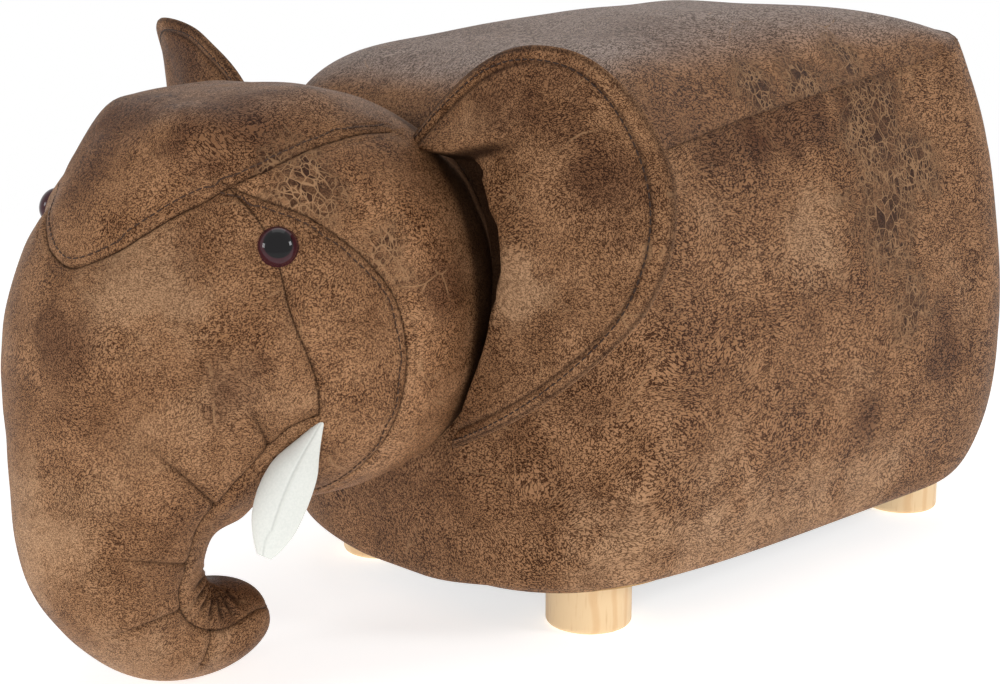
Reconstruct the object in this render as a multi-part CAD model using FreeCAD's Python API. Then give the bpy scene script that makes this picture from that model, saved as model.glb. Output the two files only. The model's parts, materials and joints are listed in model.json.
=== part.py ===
"""Elephant footstool: a padded box seat on four round wooden feet, with a stuffed head and trunk.

Millimetres. +Z is up, the elephant looks along -X and its left flank is on -Y.
Everything is laid out from the point on the floor midway between the feet, and the whole
stool is then moved along X so that the origin is below the middle of its overall box.
"""
import FreeCAD
import Part
import math
import os

Vector = FreeCAD.Vector

# Feet, their bolts and threaded inserts
foot_diameter = 46.0
foot_height = 25.2
foot_spacing_x = 296.0
foot_spacing_y = 168.0
foot_edge_radius = 3.0
bolt_diameter = 8.0
bolt_depth_in_foot = 18.0
insert_diameter = 12.0
bolt_end_setback = 1.0

# Sheet goods
leather = 1.2
dust_cloth = 0.8
board = 12.0
hem_width = 30.0
dust_setback = 12.0
board_setback = 4.0

# Upholstered body: plan outline and upright profile
body_length = 444.0
body_width = 285.0
front_corner_radius = 92.0
rear_corner_radius = 87.0
seat_corner_radius = 55.0
bottom_inset = 21.0
bulge_height = 90.0
seam_height = 247.0
seam_inset = 33.0
seam_tilt = 8.5
seat_nose = 18.0
crown_rise = 43.0
crown_inset = 132.0
crown_nose = 25.0
crown_power = 2.4
side_curve_power = 2.3
least_corner_radius = 8.0

# Wooden frame under the foam
frame_length = 312.0
frame_width = 180.0
frame_height = 183.0
corner_block = 30.0
screw_diameter = 4.0
screw_head_diameter = 8.0
screw_head_depth = 3.0
screw_length = 40.0
screw_end_gap = 45.0

# Staples round the underside
staple_width = 10.0
staple_leg = 8.0
staple_wire = 0.8
staple_edge_gap = 5.0
staples_per_side = 5
staples_per_end = 3

# Stuffed head and trunk: sections across the form, from the neck to the trunk's tip.
# Forward is from the front of the body, up is from the underside. Each row gives the
# inner (throat) point, the outer (forehead) point and the half width.
head_sections = [
    ((-15, 84), (-15, 236), 80),
    ((19, 66), (19, 253), 99),
    ((59, 58), (59, 262), 107),
    ((82, 61), (101, 261), 101),
    ((92, 63), (142, 252), 90),
    ((100, 63), (171, 218), 80),
    ((106, 61), (194, 181), 70),
    ((112, 59), (204, 142), 61),
    ((117, 55), (208, 105), 53),
    ((121, 48), (206, 66), 46),
    ((123, 42), (199, 33), 40),
    ((122, 37), (184, 5), 35),
    ((117, 30), (158, -15), 31),
    ((107, 26), (128, -22), 28),
    ((97, 24), (102, -22), 25),
    ((87, 19), (87, -15), 19),
    ((80, 9), (80, -6), 10),
]
trunk_root_section = 7
corner_share = 0.72

# Seams of the head's leather panels, as (forward, up) points
crown_half_width = 73.0
crown_front = 187.0
crown_base = 164.0
seam_top = (139, 223)
face_seam_middle = (124, 172)
tusk_root = (97, 115)
cheek_seam_upper = (93, 191)
cheek_seam_middle = (71, 134)
cheek_seam_lower = (75, 104)
cheek_seam_end = (96, 66)
trunk_seam_upper = (128, 92)
trunk_seam_side = (150, 58)
trunk_seam_lower = (152, 23)
trunk_seam_turn = (128, 4)
trunk_seam_end = (76, 0)
crook_height = 42.0

# Eyes, on a line from the middle of the head outwards
head_middle = (71, 161)
eye_direction = (0.525, 0.774, 0.356)
eye_diameter = 17.5
eye_rise = 6.5
eye_sink = 0.6
eye_shank_diameter = 5.0
eye_shank_length = 14.0
eye_washer_diameter = 15.0
eye_washer_thickness = 1.5
eye_washer_depth = 3.0

# Tusks: a flattened spindle from its root on the face to its tip
tusk_offset = 76.0
tusk_length = 66.0
tusk_lean = 31.0
tusk_width = 28.0
tusk_thickness = 18.0
tusk_cloth = 1.5

# Ears: padded plates that stand out sideways and then bend back, each with an outline in Y and Z.
# Forward is from the front of the body, up is from the underside, out is from the middle.
ear_forward = 25.0
ear_bend_out = 119.0
ear_bend_radius = 72.0
ear_wadding = 3.0
ear_root_gap = 4.8
ear_root_top = (64, 239)
ear_top_shoulder = (107, 273)
ear_top = (143, 284)
ear_outer_shoulder = (171, 257)
ear_outer = (180.5, 211)
ear_lower_shoulder = (165.5, 152)
ear_lower = (140, 127)
ear_bottom = (86, 98)

# Levels that follow from the sizes above
hem_level = foot_height + dust_cloth
board_level = hem_level + leather
frame_level = board_level + board
seat_board_level = frame_level + frame_height
seat_foam_level = seat_board_level + board
body_front = -body_length / 2
big = 2 * body_length


def solids_of(shape):
    """The shape's solids, as one compound where there are several."""
    solids = [s for s in shape.Solids if s.Volume > leather ** 3]
    if len(solids) == 1:
        return solids[0]
    return Part.makeCompound(solids)


def three_point_arc(first, middle, last):
    return Part.Arc(first, middle, last).toShape()


def prism(edges, direction):
    return Part.Face(Part.Wire(edges)).extrude(direction)


def loft(rings):
    """A smooth closed solid through the rings."""
    closed_end_to_end, highest_degree = False, 3
    return Part.makeLoft(rings, True, False, closed_end_to_end, highest_degree)


# Body of the stool

def plan_edges(inset, nose, front_radius, rear_radius):
    """Rounded plan outline of the body, drawn in from the fullest outline by inset, less at the front."""
    front = body_front + inset - nose
    rear = body_length / 2 - inset
    half = body_width / 2 - inset
    bends = []
    for x_end, radius in ((front, front_radius), (rear, rear_radius)):
        r = min(max(radius, least_corner_radius), half - 1)
        bends.append((x_end, r, r * (1 - math.sqrt(0.5))))
    (fx, fr, fc), (rx, rr, rc) = bends
    left_front = (Vector(fx + fr, -half, 0), Vector(fx + fc, -half + fc, 0), Vector(fx, -half + fr, 0))
    right_front = (Vector(fx, half - fr, 0), Vector(fx + fc, half - fc, 0), Vector(fx + fr, half, 0))
    right_rear = (Vector(rx - rr, half, 0), Vector(rx - rc, half - rc, 0), Vector(rx, half - rr, 0))
    left_rear = (Vector(rx, -half + rr, 0), Vector(rx - rc, -half + rc, 0), Vector(rx - rr, -half, 0))
    corners = [left_front, right_front, right_rear, left_rear]
    edges = []
    for corner, following in zip(corners, corners[1:] + corners[:1]):
        edges.append(three_point_arc(*corner))
        edges.append(Part.makeLine(corner[2], following[0]))
    return edges


def plan_ring(inset, level, tilt=0.0, squaring=0.0, nose=0.0):
    """A level or tilted ring. Its corners go from the body's to the seat's as squaring goes to 1."""
    radii = []
    for radius in (front_corner_radius - inset, rear_corner_radius - inset):
        radii.append(radius + (seat_corner_radius + seam_inset - inset - radius) * squaring)
    ring = Part.Wire(plan_edges(inset, nose, *radii))
    ring.rotate(Vector(0, 0, 0), Vector(0, 1, 0), -tilt)
    ring.translate(Vector(0, 0, level))
    return ring


def plan_prism(inset, level, thickness):
    face = Part.Face(plan_ring(inset, level))
    return face.extrude(Vector(0, 0, thickness))


def side_form(skin):
    """The padded body up to the seat's seam, drawn in by skin: rolled under, full, then leaning in."""
    rings = []
    for angle in (0, 30, 60):
        a = math.radians(angle)
        inset = bottom_inset * (1 - math.sin(a))
        level = hem_level + skin + (bulge_height - skin) * (1 - math.cos(a))
        rings.append(plan_ring(inset + skin, level))
    for share in (0, 0.4, 0.7, 1):
        level = hem_level + bulge_height + (seam_height - bulge_height) * share
        inset = seam_inset * share ** side_curve_power
        rings.append(plan_ring(inset + skin, level, seam_tilt * share ** 2, share, seat_nose * share))
    return loft(rings)


def crown_form(skin):
    """The crowned seat above its tilted seam, drawn in by skin."""
    rings = []
    for share in (0, 0.3, 0.65, 1):
        level = hem_level + seam_height + (crown_rise - skin) * (1 - (1 - share) ** crown_power)
        inset = seam_inset + (crown_inset - seam_inset) * share
        nose = seat_nose + crown_nose * share
        rings.append(plan_ring(inset + skin, level, seam_tilt * (1 - share), 1, nose))
    return loft(rings)


def space_above(level):
    return Part.makeBox(big, big, big, Vector(-big / 2, -big / 2, level))


def frame_box(low, high):
    corner = Vector(-frame_length / 2, -frame_width / 2, low)
    return Part.makeBox(frame_length, frame_width, high - low, corner)


# Head and trunk

def head_point(forward, up, out=0.0):
    return Vector(body_front - forward, out, hem_level + up)


def oval_wire(centre, across, outward, half_width, half_depth):
    """A full oval of eight tangent arcs: gently curved sides and ends, tighter corners."""
    corner = corner_share * min(half_width, half_depth)
    low, high = math.radians(30), math.radians(60)
    c, s = math.cos(low), math.sin(low)
    wide = half_width - (c - s) * corner
    deep = half_depth - (c - s) * corner
    spread = s * s - (1 - c) * (1 - c)
    side = (s * deep - (1 - c) * wide) / spread
    end = (s * wide - (1 - c) * deep) / spread

    def point(degrees):
        t = math.radians(degrees)
        q = math.atan2(abs(math.sin(t)), abs(math.cos(t)))
        if q <= low:
            a = half_width - side + side * math.cos(q)
            b = side * math.sin(q)
        elif q < high:
            a = half_width - side + (side - corner) * c + corner * math.cos(q)
            b = (side - corner) * s + corner * math.sin(q)
        else:
            a = end * math.cos(q)
            b = half_depth - end + end * math.sin(q)
        a = math.copysign(a, math.cos(t))
        b = math.copysign(b, math.sin(t))
        return centre + across * a + outward * b

    stops = [-30, 30, 60, 120, 150, 210, 240, 300, 330]
    edges = []
    for first, last in zip(stops, stops[1:]):
        edges.append(three_point_arc(point(first), point((first + last) / 2), point(last)))
    return Part.Wire(edges)


def stuffed_form(sections, skin):
    """A stuffed form through some of the head's sections, drawn in all over by skin."""
    rings = []
    before = None
    for inner, outer, half_width in sections:
        low, high = head_point(*inner), head_point(*outer)
        centre = (low + high) / 2
        outward = (high - low) / (high - low).Length
        if (inner, outer, half_width) == head_sections[-1]:
            back = before - centre
            centre = centre + back / back.Length * skin
        half_depth = (high - low).Length / 2 - skin
        rings.append(oval_wire(centre, Vector(0, 1, 0), outward, half_width - skin, half_depth))
        before = centre
    return loft(rings)


def head_form(skin):
    return stuffed_form(head_sections[:trunk_root_section + 1], skin)


def trunk_form(skin):
    return stuffed_form(head_sections[trunk_root_section:], skin)


def side_prism(path, low=-big / 2, high=big / 2):
    """A prism across the head. The path holds (forward, up) points, with an arc where three are given."""
    edges = []
    for stretch in path:
        points = [head_point(f, u, low) for f, u in stretch]
        if len(points) == 3:
            edges.append(three_point_arc(*points))
        else:
            edges.append(Part.makeLine(*points))
    return prism(edges, Vector(0, high - low, 0))


def crown_prism():
    back = head_point(-front_corner_radius, crown_base).x
    turn = head_point(seam_top[0], crown_base).x
    tip = head_point(crown_front, crown_base).x
    level = hem_level + crown_base
    half = crown_half_width
    spots = ((turn, half), (back, half), (back, -half), (turn, -half))
    corners = [Vector(x, y, level) for x, y in spots]
    edges = [Part.makeLine(a, b) for a, b in zip(corners, corners[1:])]
    edges.append(three_point_arc(corners[3], Vector(tip, 0, level), corners[0]))
    return prism(edges, Vector(0, 0, big))


def trunk_seam_prism():
    """Everything behind and under the seam that runs down the trunk's side to its tip."""
    end = (trunk_seam_end[0], crook_height)
    throat = (tusk_root[0], crook_height)
    return side_prism([
        (tusk_root, trunk_seam_upper, trunk_seam_side),
        (trunk_seam_side, trunk_seam_lower, trunk_seam_turn),
        (trunk_seam_turn, trunk_seam_end),
        (trunk_seam_end, end),
        (end, throat),
        (throat, tusk_root),
    ])


def face_prism():
    """Everything in front of the seam that runs from the crown past the eye to the tusk."""
    ahead = crown_front + big
    throat = (tusk_root[0], crook_height)
    behind_tip = (0, crook_height)
    corners = [throat, behind_tip, (0, -big), (ahead, -big), (ahead, big), (seam_top[0], big)]
    path = [(seam_top, face_seam_middle, tusk_root), (tusk_root, throat)]
    path += list(zip(corners, corners[1:]))
    path.append((corners[-1], seam_top))
    return side_prism(path)


def cheek_prism(low, high):
    """The leaf-shaped cheek between the face seam and the curved cheek seam."""
    foot = (tusk_root[0], cheek_seam_end[1])
    return side_prism([
        (seam_top, cheek_seam_upper, cheek_seam_middle),
        (cheek_seam_middle, cheek_seam_lower, cheek_seam_end),
        (cheek_seam_end, foot),
        (foot, tusk_root),
        (tusk_root, face_seam_middle, seam_top),
    ], low, high)


# Eyes, tusks and ears

def turned(profile):
    """A solid of revolution about Z from points of (radius, height), with an arc where three are given."""
    edges = []
    for stretch in profile:
        points = [Vector(r, 0, z) for r, z in stretch]
        if len(points) == 3:
            edges.append(three_point_arc(*points))
        else:
            edges.append(Part.makeLine(*points))
    return Part.Face(Part.Wire(edges)).revolve(Vector(0, 0, 0), Vector(0, 0, 1), 360)


def eye_and_washer(side, head):
    forward, out, up = eye_direction
    direction = Vector(-forward, side * out, up)
    direction = direction / direction.Length
    middle = head_point(*head_middle)
    ray = Part.makeLine(middle, middle + direction * body_width).common(head)
    reach = max((v.Point - middle).Length for v in ray.Vertexes)
    seat = middle + direction * (reach - eye_sink)
    radius, shank = eye_diameter / 2, eye_shank_diameter / 2
    ball = (radius ** 2 + eye_rise ** 2) / (2 * eye_rise)
    half = math.asin(radius / ball) / 2
    shoulder = (ball * math.sin(half), eye_rise - ball * (1 - math.cos(half)))
    eye = turned([
        ((0, -eye_shank_length), (shank, -eye_shank_length)),
        ((shank, -eye_shank_length), (shank, 0)),
        ((shank, 0), (radius, 0)),
        ((radius, 0), shoulder, (0, eye_rise)),
        ((0, eye_rise), (0, -eye_shank_length)),
    ])
    top = -eye_washer_depth
    base = top - eye_washer_thickness
    rim = eye_washer_diameter / 2
    washer = turned([
        ((shank, base), (rim, base)), ((rim, base), (rim, top)),
        ((rim, top), (shank, top)), ((shank, top), (shank, base)),
    ])
    spot = FreeCAD.Placement(seat, FreeCAD.Rotation(Vector(0, 0, 1), direction))
    eye.Placement = spot
    washer.Placement = spot
    return eye, washer


def tusk_form(side, skin):
    """A flattened spindle that hangs forward from its root."""
    lean = math.radians(tusk_lean)
    along = Vector(-math.sin(lean), 0, -math.cos(lean))
    across = Vector(0, side, 0)
    outward = along.cross(across)
    root = head_point(tusk_root[0], tusk_root[1], side * tusk_offset)
    shares = [(0, 0.2), (0.15, 0.72), (0.42, 1.0), (0.68, 0.84), (0.9, 0.42), (1, 0.16)]
    rings = []
    for reach, swell in shares:
        centre = root + along * (skin + (tusk_length - 2 * skin) * reach)
        half_thickness = tusk_thickness / 2 * swell - skin * swell
        half_width = tusk_width / 2 * swell - skin * swell
        rings.append(oval_wire(centre, across, outward, half_thickness, half_width))
    return loft(rings)


def ear_outline(side):
    """A prism along X with the ear's outline."""
    def point(out_up):
        out, up = out_up
        return Vector(-big / 2, side * out, hem_level + up)

    arcs = [(ear_root_top, ear_top_shoulder, ear_top),
            (ear_top, ear_outer_shoulder, ear_outer),
            (ear_outer, ear_lower_shoulder, ear_lower)]
    edges = [three_point_arc(*[point(p) for p in arc]) for arc in arcs]
    inner = (ear_root_top[0], ear_bottom[1])
    for first, last in ((ear_lower, ear_bottom), (ear_bottom, inner), (inner, ear_root_top)):
        edges.append(Part.makeLine(point(first), point(last)))
    return prism(edges, Vector(big, 0, 0))


def ear_space(side, depth):
    """All that lies behind the ear's bent front face, drawn back by depth."""
    front = body_front - ear_forward + depth
    centre = Vector(front + ear_bend_radius - depth, side * ear_bend_out, 0)
    radius = ear_bend_radius - depth
    slant = radius * math.sqrt(0.5)
    inner = Vector(front, 0, 0)
    bend = Vector(front, side * ear_bend_out, 0)
    middle = centre + Vector(-slant, side * slant, 0)
    end = centre + Vector(0, side * radius, 0)
    back = Vector(centre.x, 0, 0)
    edges = [Part.makeLine(inner, bend), three_point_arc(bend, middle, end)]
    edges += [Part.makeLine(end, back), Part.makeLine(back, inner)]
    return prism(edges, Vector(0, 0, big))


def ear_layers(side, keep_clear):
    """Front leather, wadding and back leather of one ear, from the front backwards."""
    outline = ear_outline(side)
    depth = 0.0
    layers = []
    for thickness in (leather, ear_wadding, leather):
        plate = ear_space(side, depth).cut(ear_space(side, depth + thickness))
        layer = plate.common(outline).cut(keep_clear)
        layers.append(max(layer.Solids, key=lambda s: abs(s.CenterOfMass.y)))
        depth = depth + thickness
    return layers


# Feet and fasteners

def foot_spots():
    for x_side, x_name in ((-1, "front"), (1, "rear")):
        for y_side, y_name in ((-1, "left"), (1, "right")):
            name = "foot_" + x_name + "_" + y_name
            yield name, Vector(x_side * foot_spacing_x / 2, y_side * foot_spacing_y / 2, 0)


def wood_screw(spot, direction):
    """A countersunk screw whose head is flush with the face that it is driven into."""
    head = screw_head_diameter / 2
    shank = screw_diameter / 2
    screw = turned([
        ((0, 0), (head, 0)), ((head, 0), (shank, -screw_head_depth)),
        ((shank, -screw_head_depth), (shank, -screw_length + screw_diameter)),
        ((shank, -screw_length + screw_diameter), (0, -screw_length)), ((0, -screw_length), (0, 0)),
    ])
    screw.Placement = FreeCAD.Placement(spot, FreeCAD.Rotation(Vector(0, 0, -1), direction))
    return screw


def frame_screw_spots():
    """Plan positions over the middle of each frame panel's edge."""
    x_edge = frame_length / 2 - board / 2
    y_edge = frame_width / 2 - board / 2
    x_spot = frame_length / 2 - screw_end_gap
    y_spot = frame_width / 2 - screw_end_gap
    for side in (-1, 1):
        for end in (-1, 1):
            yield end * x_spot, side * y_edge
            yield end * x_edge, side * y_spot


def staple(spot, along):
    """A wire staple under the dust cloth with its two legs up."""
    half = staple_wire / 2
    across = along.cross(Vector(0, 0, 1))
    corner = spot - along * (staple_width / 2) - across * half
    crown = [corner, corner + along * staple_width]
    crown += [crown[1] + across * staple_wire, corner + across * staple_wire]
    edges = [Part.makeLine(a, b) for a, b in zip(crown, crown[1:] + crown[:1])]
    shape = prism(edges, Vector(0, 0, staple_wire))
    for start in (corner, corner + along * (staple_width - staple_wire)):
        square = [start, start + along * staple_wire]
        square += [square[1] + across * staple_wire, start + across * staple_wire]
        edges = [Part.makeLine(a, b) for a, b in zip(square, square[1:] + square[:1])]
        shape = shape.fuse(prism(edges, Vector(0, 0, staple_wire + staple_leg)))
    return shape.removeSplitter()


def staples():
    """Staples along the straight stretches of the dust cloth's edge."""
    inset = bottom_inset + dust_setback + staple_edge_gap
    level = foot_height - staple_wire
    half = body_width / 2 - inset
    front = body_front + front_corner_radius
    rear = body_length / 2 - rear_corner_radius
    shapes = []
    for side in (-1, 1):
        for n in range(staples_per_side):
            x = front + (rear - front) * (n + 0.5) / staples_per_side
            shapes.append(staple(Vector(x, side * half, level), Vector(1, 0, 0)))
    ends = ((body_front + inset, body_width / 2 - front_corner_radius),
            (body_length / 2 - inset, body_width / 2 - rear_corner_radius))
    for x, reach in ends:
        for n in range(staples_per_end):
            y = reach * (2 * n + 1 - staples_per_end) / staples_per_end
            shapes.append(staple(Vector(x, y, level), Vector(0, 1, 0)))
    return Part.makeCompound(shapes)


# Assembly of the nodes

def body_nodes():
    nodes = {}
    inside, crown_inside = side_form(leather), crown_form(leather)
    above_board = space_above(seat_foam_level)
    hem_opening = plan_prism(bottom_inset + hem_width, hem_level - leather, 3 * leather)
    nodes["seat_cover_panel"] = crown_form(0).cut(crown_inside)
    nodes["side_cover_band"] = side_form(0).cut(inside).cut(hem_opening)
    base = plan_prism(bottom_inset + board_setback, board_level, board)
    nodes["seat_foam"] = inside.common(above_board).fuse(crown_inside)
    nodes["side_foam"] = inside.cut(above_board).cut(base).cut(frame_box(board_level, seat_foam_level))
    seat_board = frame_box(seat_board_level, seat_foam_level)
    nodes["seat_board"] = seat_board
    length, width = frame_length, frame_width
    for name, side in (("left", -1), ("right", 1)):
        low = Vector(-length / 2, side * (width / 2 - board / 2) - board / 2, frame_level)
        nodes["frame_side_" + name] = Part.makeBox(length, board, frame_height, low)
    for name, end in (("front", -1), ("rear", 1)):
        low = Vector(end * (length / 2 - board / 2) - board / 2, -width / 2 + board, frame_level)
        nodes["frame_end_" + name] = Part.makeBox(board, width - 2 * board, frame_height, low)
    blocks = []
    for end in (-1, 1):
        for side in (-1, 1):
            x = end * (length / 2 - board - corner_block / 2) - corner_block / 2
            y = side * (width / 2 - board - corner_block / 2) - corner_block / 2
            blocks.append(Part.makeBox(corner_block, corner_block, frame_height, Vector(x, y, frame_level)))
    nodes["corner_blocks"] = Part.makeCompound(blocks)
    screws = []
    for x, y in frame_screw_spots():
        screws.append(wood_screw(Vector(x, y, board_level), Vector(0, 0, 1)))
        screws.append(wood_screw(Vector(x, y, seat_foam_level), Vector(0, 0, -1)))
    nodes["frame_screws"] = Part.makeCompound(screws)
    dust = plan_prism(bottom_inset + dust_setback, foot_height, dust_cloth)
    bolts, inserts = [], []
    for name, spot in foot_spots():
        foot = Part.makeCylinder(foot_diameter / 2, foot_height, spot)
        rim = [e for e in foot.Edges if e.BoundBox.ZMax < foot_edge_radius and len(e.Vertexes) == 1]
        foot = foot.makeFillet(foot_edge_radius, rim)
        bolt_low = spot + Vector(0, 0, foot_height - bolt_depth_in_foot)
        bolt_high = frame_level - bolt_end_setback
        bolt = Part.makeCylinder(bolt_diameter / 2, bolt_high - bolt_low.z, bolt_low)
        socket = Part.makeCylinder(insert_diameter / 2, board, spot + Vector(0, 0, board_level))
        passage = Part.makeCylinder(bolt_diameter / 2, frame_level, spot)
        nodes[name] = foot.cut(bolt)
        dust = dust.cut(passage)
        nodes["side_cover_band"] = nodes["side_cover_band"].cut(passage)
        base = base.cut(socket)
        bolts.append(bolt)
        inserts.append(socket.cut(passage))
    nodes["dust_cover"] = dust
    nodes["base_board"] = base
    nodes["foot_bolts"] = Part.makeCompound(bolts)
    nodes["foot_inserts"] = Part.makeCompound(inserts)
    nodes["cover_staples"] = staples()
    return nodes


def head_nodes(body):
    nodes = {}
    head, trunk = head_form(0), trunk_form(0)
    filling = head_form(leather).cut(body)
    trunk_filling = trunk_form(leather)
    skin = head.cut(head_form(leather)).cut(body)
    trunk_skin = trunk.cut(trunk_filling)
    crown, underside, face = crown_prism(), trunk_seam_prism(), face_prism()
    nodes["crown_panel"] = skin.common(crown)
    rest = skin.cut(crown)
    nodes["trunk_underside_panel"] = rest.common(underside).fuse(trunk_skin.common(underside))
    rest = rest.cut(underside)
    nodes["face_panel"] = rest.common(face).fuse(trunk_skin.cut(underside))
    rest = rest.cut(face)
    keep_clear = head_form(-ear_root_gap)
    washers = []
    for name, side, low, high in (("left", -1, -big / 2, 0), ("right", 1, 0, big / 2)):
        cheek = cheek_prism(low, high)
        half_space = Part.makeBox(big, big / 2, big, Vector(-big / 2, low, -big / 2))
        nodes["cheek_panel_" + name] = rest.common(cheek)
        nodes["head_side_panel_" + name] = rest.common(half_space).cut(cheek)
        eye, washer = eye_and_washer(side, head)
        nodes["eye_" + name] = eye
        washers.append(washer)
        filling = filling.cut(eye).cut(washer)
        for panel in ("face_panel", "cheek_panel_" + name, "head_side_panel_" + name):
            nodes[panel] = nodes[panel].cut(eye)
        tusk = tusk_form(side, 0).cut(head).cut(trunk)
        stuffing = tusk_form(side, tusk_cloth).cut(head).cut(trunk)
        nodes["tusk_" + name + "_cover"] = tusk.cut(stuffing)
        nodes["tusk_" + name + "_filling"] = stuffing
        for part, layer in zip(("front", "wadding", "back"), ear_layers(side, keep_clear)):
            nodes["ear_" + name + "_" + part] = layer
    nodes["eye_washers"] = Part.makeCompound(washers)
    nodes["head_filling"] = filling
    nodes["trunk_filling"] = trunk_filling
    return nodes


def main():
    os.makedirs("parts", exist_ok=True)
    nodes = body_nodes()
    nodes.update(head_nodes(side_form(0).fuse(crown_form(0))))
    shapes = {name: solids_of(shape) for name, shape in nodes.items()}
    box = Part.makeCompound(list(shapes.values())).optimalBoundingBox()
    shift = -(box.XMin + box.XMax) / 2
    for name, shape in shapes.items():
        shape.translate(Vector(shift, 0, 0))
        shape.exportStep("parts/" + name + ".step")
        print(name, len(shape.Solids), "solids", round(shape.Volume), "mm3")
    print("moved along X by", round(shift, 3))
    print("overall", round(box.XLength, 1), round(box.YLength, 1), round(box.ZLength, 1))


main()
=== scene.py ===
from functools import partial
import json
import math

import bmesh
import bpy
import numpy as np
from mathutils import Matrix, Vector
from mathutils.bvhtree import BVHTree
from mathutils.kdtree import KDTree


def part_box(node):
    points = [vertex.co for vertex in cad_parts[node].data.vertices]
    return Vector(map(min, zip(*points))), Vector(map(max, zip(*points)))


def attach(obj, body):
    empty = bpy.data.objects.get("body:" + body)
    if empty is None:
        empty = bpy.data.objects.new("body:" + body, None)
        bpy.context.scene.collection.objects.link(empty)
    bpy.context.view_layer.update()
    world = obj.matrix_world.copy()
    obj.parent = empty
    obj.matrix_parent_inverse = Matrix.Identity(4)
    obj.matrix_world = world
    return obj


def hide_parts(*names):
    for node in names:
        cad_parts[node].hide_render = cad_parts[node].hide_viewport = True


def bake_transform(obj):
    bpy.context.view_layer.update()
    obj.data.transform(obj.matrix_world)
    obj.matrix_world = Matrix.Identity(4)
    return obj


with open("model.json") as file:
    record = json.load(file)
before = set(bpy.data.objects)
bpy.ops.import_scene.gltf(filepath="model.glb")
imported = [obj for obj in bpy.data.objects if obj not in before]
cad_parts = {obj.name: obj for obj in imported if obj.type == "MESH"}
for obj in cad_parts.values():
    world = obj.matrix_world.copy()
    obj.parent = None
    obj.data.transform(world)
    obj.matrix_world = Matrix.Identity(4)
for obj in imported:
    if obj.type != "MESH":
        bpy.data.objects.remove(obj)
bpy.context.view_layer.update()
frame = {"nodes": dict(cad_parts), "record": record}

# Sizes are in millimetres about the middle of the four feet. The elephant looks along -X, and its left
# flank is at -Y.
MM = 0.001
SIDES = {-1: "left", 1: "right"}
FEET = ["foot_%s_%s" % (end, word) for end in ("front", "rear") for word in SIDES.values()]
feet_middle = np.array([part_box(name) for name in FEET]).mean(axis=(0, 1)) * [1, 1, 0]

leather_thickness = 1.2
weld_distance = 0.02

# The body: a padded box with a rolled foot, full sides and a crowned seat.
hem_level = 26.0
hem_width = 24.0
body_front = -222.0
body_rear = 222.0
body_half_width = 142.5
front_corner_radius = 92.0
rear_corner_radius = 87.0
seat_corner_radius = 55.0
bottom_inset = 21.0
front_bottom_inset = 15.0
rear_bottom_inset = 45.0
bulge_height = 90.0
roll_power = 2.25
side_curve_power = 2.3
rear_curve_power = 1.25
seam_level = 272.0
seam_slope = 0.14
seam_inset = 33.0
seam_front_inset = 1.0
seam_rear_inset = 32.5
seam_rear_rise = 4.0
front_widening = 15.0
ridge_level = 319.5
ridge_middle = 42.0
ridge_curve = 0.0005
rear_ridge_curve = 0.0008
least_crown_rise = 3.5
crown_power = 4.2
front_crown_power = 9.0
rear_crown_power = 7.0
corner_columns = 46
straight_columns = (84, 32, 84, 36)
corner_ease = 4.5

# The head and trunk: inner point (forward, up), outer point (forward, up) and half width of each section.
HEAD_SECTIONS = [
    ((-15, 84), (-15, 236), 80), ((19, 66), (19, 253), 99), ((59, 58), (59, 262), 107),
    ((82, 61), (101, 261), 101), ((92, 63), (142, 251), 88), ((100, 63), (170, 219), 79),
    ((105, 58), (194.5, 181), 72), ((109.5, 54), (204, 142), 63), ((116.5, 52.5), (206.5, 105), 52.5),
    ((120.5, 48), (207.5, 67), 45), ((121.5, 40.5), (201.5, 34.5), 39.5), ((121, 34.5), (185, 8), 35),
    ((117, 27), (157.5, -14.5), 31), ((107, 22), (128, -23), 28), ((98, 20), (102, -20), 25),
    ((88, 15), (88, -13), 19), ((81, 6), (81, -5), 10)]
head_rows = 200
head_columns = 288
oval_power = 2.05
crown_swell = 5.5
crown_swell_inside = 24.0
TRUNK_CURL = (119, 33)

# Seams of the head. The crown is drawn in plan (forward, Y) from right to left, the others in side view
# (forward, up). As in the photo, the crown's front is a little to the left.
CROWN_SEAM = [
    (-30, 50), (20.5, 55), (49, 62), (82, 66), (105.5, 67), (118, 66), (131, 62.5), (142, 56),
    (152, 48), (165, 36), (176, 23), (184, 11.3), (187.3, 2.7), (188.8, -4.7), (189, -13), (187, -20),
    (183.2, -26.3), (177.3, -33.5), (169.5, -39), (161.7, -45), (153, -51.5), (144, -58),
    (132.5, -63.3), (119, -66.8), (105.5, -67.3), (82, -66), (49, -62), (20.5, -55), (-30, -50)]
FACE_SEAM = [
    (137, 230), (135, 223), (131, 214), (127, 200), (125, 187), (123, 172), (118, 157), (110, 138),
    (104, 118)]
CHEEK_SEAM = [
    (137, 226), (124, 218), (113, 213), (95, 198), (80, 179), (72, 153), (69, 129), (69, 108), (72, 85),
    (80, 62)]
GUSSET_SEAM = [
    (104, 118), (125, 106), (135, 94), (145, 80), (149, 60), (151, 42), (150, 26), (142, 16), (130, 9),
    (112, 7), (99, 9), (80, 3)]
THROAT_SEAM = [(60, 3), (40, 30), (40, 60), (76, 62), (92, 76), (104, 118)]
DARTS = [
    [(125, 107), (133, 119), (141, 131)],
    [(145, 80), (167, 102), (184, 120)],
    [(151, 50), (173, 57), (192, 62)],
    [(151, 26), (170, 24), (186, 18)],
    [(130, 9), (134, -3), (137, -14)]]
crown_seam_start = 38.0
stitch_offset = 4.6

# Spots (forward, up, out) where the stuffing is fuller, with height and width.
FULLER_SPOTS = [((167, 206, 28), 2.0, 24.0), ((143, 204, 66), 4.0, 20.0)]

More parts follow.
